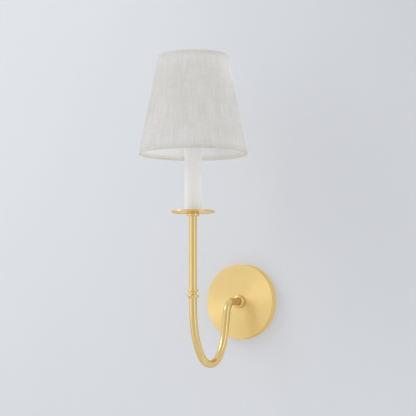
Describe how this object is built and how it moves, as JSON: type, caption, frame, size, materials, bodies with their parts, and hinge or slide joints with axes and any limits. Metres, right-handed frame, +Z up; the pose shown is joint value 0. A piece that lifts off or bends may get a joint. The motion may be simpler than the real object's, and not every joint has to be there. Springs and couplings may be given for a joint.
{
  "type": "wall light",
  "caption": "Wall light with a swan-neck brass arm on a round back plate, a candle sleeve and a tapered fabric shade clipped to the bulb.",
  "frame": {"origin": "on the wall plane, midway between the two slots of the mounting strap, at the back plate's centre", "axes": "+Z up along the candle stem, +X to the right as seen from the room, +Y into the wall, so the light stands out along -Y"},
  "size_m": [0.1678, 0.2434, 0.4803],
  "materials": {
    "satin_brass": "satin, fine brushed",
    "brass_hardware": "plain turned",
    "zinc_steel": "zinc plated",
    "green_screw": "green chromate",
    "candle_white": "smooth, slightly glossy",
    "black_phenolic": "moulded",
    "nickel_cap": "nickel plated",
    "black_glass": "glossy",
    "bulb_glass": "frosted",
    "clear_glass": "clear",
    "light_rod": "phosphor coated",
    "linen": "slubbed linen weave",
    "white_liner": "matt white film",
    "linen_tape": "plain weave tape",
    "white_wire": "white coated steel wire",
    "brass_wire": "plated wire",
    "black_insulation": "smooth",
    "white_insulation": "smooth",
    "green_insulation": "smooth",
    "connector_plastic": "moulded"
  },
  "bodies": {
    "fixture": {"backplate": "satin_brass", "mounting_strap": "zinc_steel", "rim_screws": "brass_hardware", "ground_screw": "green_screw", "ground_tab": "zinc_steel", "ground_lead": "green_insulation", "arm_collar": "satin_brass", "arm_washer": "zinc_steel", "arm_nut": "zinc_steel", "arm_nipple": "brass_hardware", "arm_tube": "satin_brass", "knop": "satin_brass", "stem_tube": "satin_brass", "stem_nipple": "brass_hardware", "bobeche_cup": "satin_brass", "bobeche": "satin_brass", "bobeche_nut": "brass_hardware", "candle_sleeve": "candle_white", "socket_bracket": "zinc_steel", "bracket_screws": "zinc_steel", "lampholder_body": "black_phenolic", "lampholder_shell": "brass_hardware", "lampholder_contact": "brass_hardware", "lampholder_terminals": "brass_hardware", "live_lead": "black_insulation", "neutral_lead": "white_insulation", "wire_connectors": "connector_plastic"},
    "bulb": {"bulb_cap": "nickel_cap", "bulb_insulator": "black_glass", "bulb_contact": "nickel_cap", "bulb_globe": "bulb_glass", "bulb_stem": "clear_glass", "bulb_filament": "light_rod"},
    "shade": {"shade_fabric": "linen", "shade_liner": "white_liner", "shade_seam": "linen", "shade_bottom_ring": "white_wire", "shade_top_ring": "white_wire", "hem_bottom": "linen_tape", "hem_top": "linen_tape", "spider_hub": "brass_wire", "bulb_clip_left": "brass_wire", "bulb_clip_right": "brass_wire", "spider_spoke_1": "brass_wire", "spider_spoke_2": "brass_wire", "spider_spoke_3": "brass_wire"}
  },
  "joints": [
    {"name": "bulb_turn", "type": "hinge", "parent": "fixture", "child": "bulb", "pos_m": [0, -0.1595, 0.226], "axis": [0, 0, 1], "continuous": true},
    {"name": "shade_lift", "type": "slide", "parent": "bulb", "child": "shade", "axis": [0, 0, 1], "range_m": [0, 0.12]}
  ]
}
